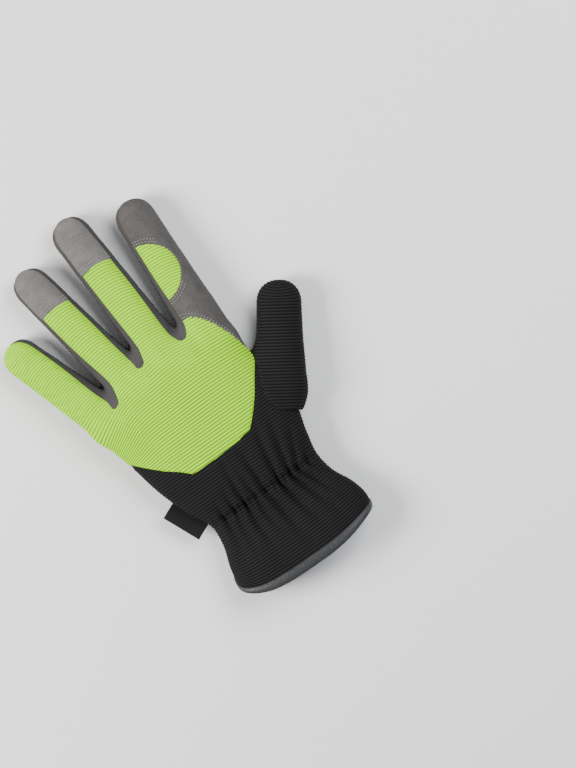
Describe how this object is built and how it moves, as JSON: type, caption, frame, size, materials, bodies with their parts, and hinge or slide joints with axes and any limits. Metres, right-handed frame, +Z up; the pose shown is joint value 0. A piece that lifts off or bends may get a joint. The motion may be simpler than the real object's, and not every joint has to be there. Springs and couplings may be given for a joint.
{
  "type": "synthetic leather work glove",
  "caption": "Left-hand work glove with a ribbed knit back, suede-like palm, fingertip caps, strips between the fingers, a gathered wrist and a bound cuff.",
  "frame": {"origin": "middle of the glove's box, on the surface that it rests on", "axes": "+Y from the cuff to the fingertips, +X towards the thumb, +Z up out of the back of the hand"},
  "size_m": [0.1706, 0.2568, 0.0281],
  "materials": {
    "suede": "matte synthetic suede, mid grey",
    "dark_suede": "matte synthetic suede, dark grey",
    "green_knit": "ribbed stretch knit, fluorescent yellow-green",
    "black_knit": "ribbed stretch knit, black",
    "leatherette": "slate black leatherette with a soft sheen",
    "woven_tape": "black woven tape"
  },
  "bodies": {
    "root": {"palm_panel": "suede", "middle_finger_front": "suede", "ring_finger_front": "suede", "back_panel": "green_knit", "index_patch": "suede", "index_knuckle_inset": "green_knit", "middle_fingertip_cap": "suede", "ring_fingertip_cap": "suede", "fourchette_ring_little": "dark_suede", "fourchette_middle_ring": "dark_suede", "fourchette_index_middle": "dark_suede", "wrist_back": "black_knit", "thumb_back": "black_knit", "hem_binding": "leatherette", "label_tag": "woven_tape"}
  },
  "joints": []
}
